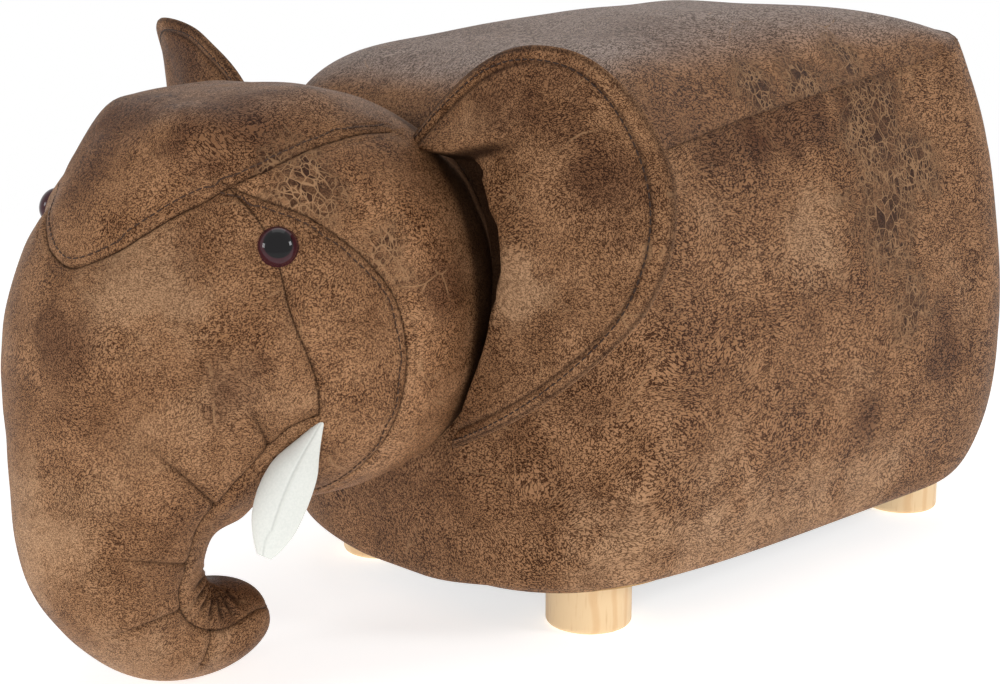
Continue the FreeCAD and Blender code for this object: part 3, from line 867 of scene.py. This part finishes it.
def beside(tree, line, offset):
    """A line that runs along another on the form, offset to its left as seen from outside."""
    found = []
    for point, along in zip(line, np.gradient(line, axis=0)):
        out = tree.find_nearest(Vector(point))[1]
        step = out.cross(Vector(along)).normalized() * offset
        found.append(tree.find_nearest(Vector(point) + step)[0])
    return even(np.array(found), 1.0)


def rings_of(centres, wide, deep, columns):
    """Rings of points round centres, with a wide and a deep half axis for each."""
    turn = np.linspace(0, 2 * math.pi, columns, endpoint=False)[:, None]
    rings = centres[:, None] + wide[:, None] * np.cos(turn) + deep[:, None] * np.sin(turn)
    return rings.reshape(-1, 3).tolist()


def stitches(name, tree, line, material, length=3.6, pitch=3.9, width=0.38):
    """A row of thread stitches laid along a line on a form."""
    line = even(line, pitch)
    rings, sides = 7, 8
    points, faces = [], []
    base = grid_faces(rings, sides)
    base += [list(range(sides))[::-1], list(range((rings - 1) * sides, rings * sides))]
    share = np.linspace(-1, 1, rings)[:, None]
    thick = width * np.sqrt(1 - share ** 4) + 0.02
    lift = 0.36 * (1 - share ** 2) - 0.26
    for start, end in zip(line[:-1], line[1:]):
        along = (end - start) / max(np.linalg.norm(end - start), 1e-6)
        middle, out = map(np.array, tree.find_nearest(Vector((start + end) / 2))[:2])
        faces += [[len(points) + corner for corner in face] for face in base]
        centres = middle + along * share * length / 2 + out * lift
        points += rings_of(centres, thick * np.cross(along, out), thick * out, sides)
    return new_piece(name, points, faces, material)


def label_faces(centres):
    """Which panel each face of the head belongs to."""
    forward, up = side_view(centres).T
    seam = np.array([(0, -40), (0, 40), (88, 60), *FACE_SEAM[::-1], (139, 300)], float)
    left = centres[:, 1] < 0
    labels = np.where(left, "head_side_left", "head_side_right")
    labels = np.where(forward > np.interp(up, seam[:, 1], seam[:, 0]), "face", labels)
    labels = np.where(cheek_level(centres) < 0, np.where(left, "cheek_left", "cheek_right"), labels)
    labels = np.where(underside_level(centres) < 0, "trunk_underside", labels)
    return np.where(crown_level(centres) < 0, "crown", labels)


HEAD_NODES = {
    "face": ("face_panel", "trunk_filling"),
    "crown": ("crown_panel", "head_filling"),
    "trunk_underside": ("trunk_underside_panel",)}
for part in ("cheek", "head_side"):
    for word in SIDES.values():
        HEAD_NODES["%s_%s" % (part, word)] = ("%s_panel_%s" % (part, word),)


def by_the_eyes(points):
    """1 at the eyes and over the washers behind them, falling to 0 away from them."""
    share = np.zeros(len(points))
    for side, place in [*EYE_PLACES.items(), (1, WASHER_PLACE)]:
        away = np.linalg.norm(side_view(points) - place, axis=1)
        share = np.maximum(share, bump(away, eye_pillow) * (points[:, 1] * side > 0))
    return share


def head_seams(tree):
    """Lines of the seams and of the darts on the head. The stitched seams, crown and cheeks, come first."""
    loop = crown_loop()
    seams = [on_form(tree, loop[loop[:, 0] > crown_seam_start])]
    seams += [on_form(tree, cubic(CHEEK_SEAM, 160), side) for side in SIDES]
    for side in SIDES:
        seams += [on_form(tree, cubic(FACE_SEAM, 160)[8:], side), on_form(tree, cubic(GUSSET_SEAM, 200), side)]
    darts = [on_form(tree, cubic(dart, 60), side) for side in SIDES for dart in DARTS]
    return seams, darts


def head_mesh(grid, seams, darts):
    """The swollen head, with fine faces near its seams and edges along them."""
    points = grid.reshape(-1, 3)
    mesh = raw_mesh("head", points, grid_faces(*grid.shape[:2]))
    count = len(grid)
    row = np.repeat(np.arange(count), head_columns)
    held = (row < 12) | (row > count - 10) | (nearest_of(points, seams) < 4.5)
    swell = swelling(grid, held) * ease(4, 30, row) * ease(count, count - 25, row)
    swell *= 1 - by_the_eyes(points)
    mesh.vertices.foreach_set("co", (points + normals_of(mesh) * swell[:, None]).ravel())

    def divide(form):
        weld(form, 0.01)
        turn_outward(form)
        refine(form, seams + darts, 7.5, 2)
        for level_of in (crown_level, underside_level, cheek_level):
            cut(form, level_of)

    rework(mesh, divide)
    return mesh


def head_relief(points, seams, darts):
    """How far seams, darts, pleats and stuffing move the head's points out, and how dark they are painted:
    seam and dart lines, and painted shade in grooves, pleats and the gap behind the ears.
    """
    forward, up = side_view(points).T
    sideways = np.abs(points[:, 1])
    away = nearest_of(points, seams)
    move = -0.8 * bump(away, 0.9) - 0.6 * bump(away, 2.5) - 0.8 * bump(away, 8)
    move += 0.3 * bump(away, 10) * waves(points, 13, 5)
    # A dark line in each seam with soft painted shade in its groove, and painted shade in the gap behind the
    # ears.
    dark_seams_and_shade = 0.9 * bump(away, 0.5) + 0.12 * bump(away, 3)
    dark_seams_and_shade += 0.9 * ease(29, 20, forward) * ease(30, 48, sideways)

    inside = -crown_level(points)
    full = bump(inside - crown_swell_inside, 17) * ease(40, 75, forward)
    move += crown_swell * full * ease(152, 124, forward)
    move -= 3.0 * bump(inside + 4, 12) * ease(136, 150, forward) * ease(180, 165, forward)
    for line in seams[:3]:
        near, _ = nearest(points, line)
        move -= 0.3 * bump(near - stitch_offset, 0.8)
        dark_seams_and_shade += 0.25 * bump(near - stitch_offset, 0.6)
    for line in darts:
        near, which = nearest(points, line)
        depth = 1 - ease(0.45, 1.0, which / len(line))
        move -= depth * (1.1 * bump(near, 0.9) + 1.0 * bump(near, 3.0) - 1.3 * bump(near, 9))
        # Dark dart lines, with painted shade in the creases beside them.
        dark_seams_and_shade += depth * (0.85 * bump(near, 0.5) + 0.15 * bump(near, 3))

    ahead, above = forward - TRUNK_CURL[0], up - TRUNK_CURL[1]
    pocket = bump(np.hypot(ahead, above) - 14, 8) * ease(2, -3, underside_level(points))
    pocket = pocket * ease(43, 30, up) * ease(9, 18, sideways)
    pleat = np.sin(np.arctan2(above, ahead) * 17 + 0.09 * points[:, 1] + 0.7 * waves(points, 30, 7))
    move += 1.2 * pocket * (pleat - 0.3)
    # Painted shade in the valleys of the pleats and over the pocket under the trunk's curl.
    dark_seams_and_shade += 0.9 * pocket * ease(0.1, -0.8, pleat) + 0.25 * pocket
    move += 0.5 * waves(points, 60, 6) + 0.15 * waves(points, 22, 9)
    pillow = by_the_eyes(points)
    move = move * (1 - pillow) + 0.4 * pillow
    for place, height, width in FULLER_SPOTS:
        move += height * bump(np.linalg.norm(points - head_point(*map(float, place)), axis=1), width)
    return move, dark_seams_and_shade


def make_head():
    """The panels of the head and trunk. Returns their common form, to set the eyes on."""
    grid = head_grid()
    seams, darts = head_seams(BVHTree.FromPolygons(grid.reshape(-1, 3).tolist(), grid_faces(*grid.shape[:2])))
    mesh = head_mesh(grid, seams, darts)
    points = points_of(mesh)
    move, dark_seams_and_shade = head_relief(points, seams, darts)
    points = points + normals_of(mesh) * move[:, None]
    labels = label_faces(np.array([polygon.center for polygon in mesh.polygons]))
    polygons = [list(polygon.vertices) for polygon in mesh.polygons]
    for label, nodes in HEAD_NODES.items():
        chosen = [polygons[i] for i in np.flatnonzero(labels == label)]
        used = sorted({v for polygon in chosen for v in polygon})
        number = {v: i for i, v in enumerate(used)}
        faces = [[number[v] for v in polygon] for polygon in chosen]
        padded_cover(label + "_cover", points[used], faces, leathers[label], nodes, dark_seams_and_shade[used])
    form = BVHTree.FromPolygons(points.tolist(), polygons)
    names = ("crown_stitches", "cheek_left_stitches", "cheek_right_stitches")
    offsets = (stitch_offset, -stitch_offset, stitch_offset)
    for name, line, offset in zip(names, seams, offsets):
        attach(stitches(name, form, beside(form, line, offset), pale_thread), "stool")
    return form


def ear_grid(side, face):
    """One face of an ear, front or back, as rows from its root to its rim, with its dark hem lines and painted
    shade.
    """
    rim = cubic(EAR_OUTLINE, ear_columns)
    root = cubic(EAR_ROOT, ear_columns)
    shares = np.concatenate([np.linspace(0, 0.7, 26)[:-1], np.linspace(0.7, 1, 34)])
    plane = np.concatenate([root + share * (rim - root) for share in shares])
    away, _ = nearest(plane, rim)
    out, up = plane.T
    turn = np.arcsin(np.clip((out - ear_bend_out) / ear_bend_radius, 0, 0.95))
    back = ear_bend_radius * (1 - np.cos(turn))
    thick = ear_thickness * (0.72 + 0.28 * ease(ear_hem, ear_hem + 14, away))
    thick = thick * np.sqrt(np.clip(away / 3.0, 0, 1)) * (1 - 0.45 * bump(away - ear_hem, 1.5))
    crease = up - (231 + (out - 90) * 0.27)
    strength = ease(142, 96, out)
    fold = 8.0 * strength / (1 + np.exp(np.clip(crease / 0.7, -40, 40))) * bump(np.minimum(crease, 0), 22)
    lobe = -4.0 * strength * bump(crease - 5, 9)
    fold_line = cubic(EAR_FOLD, 160)[::-1]
    inside = np.interp(up, fold_line[:, 1], fold_line[:, 0]) - out
    hollow = ease(-3.5, 4.5, inside) * ease(234, 226, up)
    dish = 2.5 * ease(0, 35, away) * ease(100, 140, out)
    lean = -3.0 * ease(258, 285, up) * ease(110, 150, out)
    middle = body_front - ear_forward + back + dish + lean + lobe + np.maximum(fold, fold_depth * hollow)
    x = middle + face * np.cos(turn) * thick / 2
    y = out - face * np.sin(turn) * thick / 2
    y = y + ear_tilt[side] * (np.maximum(up, 215) - 262) * ease(60, 120, out)
    points = np.column_stack([x, side * y, hem_level + lifted_ear(side, up)])
    points[:, 0] += 0.6 * waves(points, 45, 8)
    # Dark hem stitch and edge lines; painted shade in the crease under the fold and in the gap at the root.
    dark_seams_and_shade = 0.75 * bump(away - ear_hem, 0.8) + 0.7 * bump(away - 1.4, 0.7)
    dark_seams_and_shade += 1.3 * strength * bump(crease + 1.5, 3.0) + 1.2 * hollow
    return points.reshape(len(shares), ear_columns, 3), dark_seams_and_shade


def lifted_ear(side, up):
    return up + ear_lift[side] * ease(225, 275, up)


def make_ear(name, side):
    """The front and back leather of an ear and the stitches along its hem."""
    grids = {"front": ear_grid(side, -1), "back": ear_grid(side, 1)}
    front = grids["front"][0]
    faces = np.array(grid_faces(*front.shape[:2], closed=False))
    for layer, (points, dark_seams_and_shade) in grids.items():
        flip = (side > 0) == (layer == "front")
        order = faces[:, ::-1] if flip else faces
        piece = new_piece(
            "%s_%s_cover" % (name, layer), points.reshape(-1, 3), order.tolist(), leathers[name],
            [weld, drop_slivers], dark_seams_and_shade)
        nodes = ["%s_%s" % (name, layer)] + (["%s_wadding" % name] if layer == "back" else [])
        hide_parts(*nodes)
        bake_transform(piece)
    tree = BVHTree.FromPolygons(front.reshape(-1, 3).tolist(), faces.tolist())
    line = []
    for edge, root in list(zip(cubic(EAR_OUTLINE, ear_columns), cubic(EAR_ROOT, ear_columns)))[6:-6]:
        out, up = edge + (root - edge) * min(ear_hem / np.linalg.norm(edge - root), 1)
        hit = tree.ray_cast(Vector((-900, side * out, hem_level + lifted_ear(side, up))), Vector((1, 0, 0)))
        if hit[0] is not None:
            line.append(hit[0])
    row = stitches(name + "_stitches", tree, np.array(line), thread)
    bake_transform(row)


def make_tusk(name, side):
    """A flat stuffed leaf of cloth with a seam down its face."""
    leaf = cubic(TUSK_LEAF, 80)
    root, tip = (head_point(forward, up, side * out) for forward, up, out in (TUSK_ROOT, TUSK_TIP))
    along = tip - root
    deep = np.cross(along, np.cross([-0.62, side * 0.74, 0.2], along))
    deep /= np.linalg.norm(deep)
    wide = np.cross(deep, along / np.linalg.norm(along))
    wide *= -np.sign(wide[0])
    points, dark_seams_and_shade = [], []
    for share, form in leaf:
        centre = root + along * share + wide * tusk_bow * math.sin(math.pi * share)
        seam_place = 0.18 * ease(0.8, 0.9, share)
        half = form * tusk_half_width
        for turn in np.linspace(0, 2 * math.pi, tusk_columns, endpoint=False):
            across, rise = math.cos(turn), math.sin(turn)
            seam = bump((across - seam_place) * half, 0.38)
            depth = math.copysign(abs(rise) ** 1.5, rise) * tusk_half_depth * form ** 0.8
            points.append(centre + wide * across * half + deep * depth * (1 - 0.1 * seam))
            dark_seams_and_shade.append(0.22 * seam)
    points += [np.mean(points[-tusk_columns:], axis=0)] * tusk_columns
    dark_seams_and_shade += [0.0] * tusk_columns
    faces = grid_faces(len(leaf) + 1, tusk_columns)
    piece = new_piece(
        name + "_cloth", points, faces, tusk_cloth, [weld, turn_outward], np.array(dark_seams_and_shade))
    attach(piece, "stool")
    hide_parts(name + "_cover", name + "_filling")


def make_eye(name, side, head):
    """A domed plastic eye with a low rim, turned out from the head."""
    look = np.array(Vector((-0.525, side * 0.774, 0.356)).normalized())
    seat = np.array(from_side(head, *EYE_PLACES[side], side)) - look * 0.3
    dome = np.radians(np.linspace(0, 90, 22))
    profile = [(eye_radius * math.sin(t), eye_rise * math.cos(t)) for t in dome]
    profile += [(eye_radius + 0.5, -0.4), (eye_radius + 0.4, -1.4), (eye_radius - 1.0, -2.6), (3.0, -3.0)]
    reach, height = np.array(profile).T[:, :, None]
    across = np.cross(look, [0, 0, 1])
    across /= np.linalg.norm(across)
    points = rings_of(seat + height * look, reach * across, reach * np.cross(across, look), eye_columns)
    faces = grid_faces(len(profile), eye_columns)
    faces.append(list(range(len(points) - eye_columns, len(points))))
    plastic = eye_plastic(name + "_plastic", seat, look)
    piece = new_piece(name + "_dome", points, faces, plastic, [weld, turn_outward])
    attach(piece, "stool")
    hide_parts(name)


def make_floor():
    """A white floor that fades into the bright surroundings."""
    half = floor_size / 2
    corners = [(-half, -half, 0), (half, -half, 0), (half, half, 0), (-half, half, 0)]
    mesh = bpy.data.meshes.new("floor")
    mesh.from_pydata(corners, [], [(0, 1, 2, 3)])
    material = bpy.data.materials.new("floor")
    tree = cleared(material)
    matte = node(tree, "BsdfDiffuse", {"Color": FLOOR_COLOUR})
    glow = node(tree, "Emission", {"Color": WHITE, "Strength": floor_glow})
    near = joined("AddShader", {0: matte.outputs[0], 1: glow.outputs[0]})
    far = node(tree, "Emission", {"Color": WHITE, "Strength": 1.0})
    away = vector_of("LENGTH", node(tree, "TexCoord").outputs["Object"], output="Value")
    both = joined("MixShader", {0: ramp_of(away, *floor_fade), 1: near.outputs[0], 2: far.outputs[0]})
    node(tree, "OutputMaterial", {"Surface": both.outputs[0]})
    mesh.materials.append(material)
    in_scene("floor", mesh)


def make_stage():
    """The floor, a world that looks brighter than it lights, the lamps and the photo's camera."""
    scene = bpy.context.scene
    scene.view_settings.view_transform = "Standard"
    make_floor()
    scene.world = bpy.data.worlds.new("studio")
    tree = cleared(scene.world)
    ray = node(tree, "LightPath").outputs
    seen = larger(ray["Is Camera Ray"], ray["Is Glossy Ray"])
    back = joined("Background", {"Color": WHITE, "Strength": ramp_of(seen, 0.0, 1.0, world_light, 1.0)})
    node(tree, "OutputWorld", {"Surface": back.outputs[0]})
    for name, place, size, power in LAMPS:
        lamp = bpy.data.lights.new(name, "AREA")
        lamp.shape = "SQUARE"
        lamp.size = size
        lamp.energy = power
        lit = in_scene(name, lamp)
        lit.location = place
        lit.visible_glossy = name != "front"
        aim = Vector(LAMP_TARGET) - Vector(place)
        lit.rotation_euler = aim.to_track_quat("-Z", "Y").to_euler()
    lens = bpy.data.cameras.new("camera")
    lens.sensor_width = sensor_width
    lens.lens = focal_length
    scene.camera = in_scene("camera", lens)
    scene.camera.location = CAMERA_PLACE
    scene.camera.rotation_euler = [math.radians(turn) for turn in CAMERA_TURN]


# Leathers of the panels. Patches are spots (x, y, z, radius).
HEAD_CRACKLE = [(-327, -76, 250, 38), (-327, 76, 250, 38), (-300, -88, 215, 30), (-300, 88, 215, 30)]
head_grain = 0.86
leathers = {
    "side": leather(
        "leather_side", (0, 0, 0), stretch=(0.45, 1.0, 1.0), grain=0.68, contrast=1.1,
        crackle=[
            (45, -118, 250, 60), (42, -136, 205, 62), (75, -128, 232, 46), (60, -140, 150, 36),
            (-60, 135, 200, 90), (218, 20, 170, 60)],
        worn_and_lit=[
            # A row along the bottom of the near flank, partly wear and partly painted light from the floor
            # below.
            *((x, -130, 45, 62) for x in (-170, -120, -75, -25, 30)),
            (60, 142, 90, 70), (215, -40, 100, 60), (-30, -138, 200, 50)],
        dark=[
            # A row under the seat seam on the near flank: partly darker leather, partly painted shade below
            # the seat's rolled edge.
            *((x, -118, 262 + 0.14 * x, 36) for x in (-90, -60, -30, 0, 30, 60)),
            (100, -140, 120, 45), (20, -130, 90, 40)]),
    "seat": leather(
        "leather_seat", (310, 40, 20), stretch=(0.4, 1.0, 1.0), grain=0.7, contrast=0.95, gloss=0.12,
        dust_and_sheen=1.0, rim=(-45.0, 240.0, 118.0),
        crackle=[(x, -103, 283 + 0.14 * x, 30) for x in (-40, 0, 40)]),
    "face": leather(
        "leather_face", (-700, 30, 0), stretch=(0.8, 1.0, 1.2), grain=head_grain,
        worn_and_lit=[
            (-392, -48, 205, 50), (-392, 48, 205, 50), (-420, 0, 90, 55), (-370, 0, 5, 70),
            (-395, -25, 15, 60)],
        dark=[(-420, -20, 185, 34), (-365, -70, 165, 30)]),
    "crown": leather(
        "leather_crown", (900, 300, 0), grain=head_grain, tone=1.05, dust_and_sheen=0.3, crackle=HEAD_CRACKLE,
        dark=[(-340, -45, 275, 60), (-360, 10, 270, 60)]),
    "trunk_underside": leather(
        "leather_underside", (150, 500, 90), grain=head_grain, dark=[(-330, 0, 50, 50)]),
}
for side, cheek_slide, head_slide, ear_slide in (
        (-1, (-150, 800, 30), (50, -800, 300), (0, 330, -400)),
        (1, (-250, 900, 30), (150, -900, 300), (0, 130, -500))):
    cheek, head_side, ear = (part + SIDES[side] for part in ("cheek_", "head_side_", "ear_"))
    leathers[cheek] = leather("leather_" + cheek, cheek_slide, stretch=(1.0, 1.0, 0.8), grain=head_grain)
    # The head sides are painted lighter, as painted light against the shade that the ears and neck cast on
    # them.
    leathers[head_side] = leather(
        "leather_" + head_side, head_slide, grain=head_grain, tone=1.2, crackle=HEAD_CRACKLE,
        dark=[(-270, side * 100, 200, 30)])
    leathers[ear] = leather(
        "leather_" + ear, ear_slide, stretch=(1.0, 0.7, 1.0), grain=0.85, tone=0.87,
        dark=[(-240, side * 130, 290, 55), (-230, side * 170, 250, 40)], worn_and_lit=[(-245, side * 125, 200, 40)])
thread = plain("thread", (46, 28, 18), (34, 20, 12), 2.0, 0.6, 0.1)
pale_thread = plain("pale_thread", (66, 43, 28), (50, 32, 20), 2.0, 0.6, 0.1)
tusk_cloth = plain("tusk_cloth", (221, 222, 216), (213, 215, 209), 0.9, 0.8, 0.08)
CAD_MATERIALS = {
    "pine": pine("pine"),
    "plywood": plain("plywood", (205, 172, 124), (178, 140, 94), 0.06, 0.7, 0.1, (1.0, 0.2, 1.0)),
    "steel": plain("steel", (190, 192, 196), (160, 162, 168), 0.4, 0.35, 0.03, specular=0.6),
    "dust_cloth": plain("dust_cloth", (34, 34, 36), (20, 20, 22), 0.9, 0.9, 0.15),
    "washer_plastic": plain("washer_plastic", (222, 222, 216), (208, 208, 202), 0.3, 0.5, 0.03),
}

make_stage()
make_body()
head_form = make_head()
for side, word in SIDES.items():
    make_ear("ear_" + word, side)
    make_tusk("tusk_" + word, side)
    make_eye("eye_" + word, side, head_form)
for subpart in frame["record"]["subparts"]:
    finish = CAD_MATERIALS.get(subpart["material_slot"])
    if finish:
        mesh = frame["nodes"][subpart["node"]].data
        mesh.materials.clear()
        mesh.materials.append(finish)
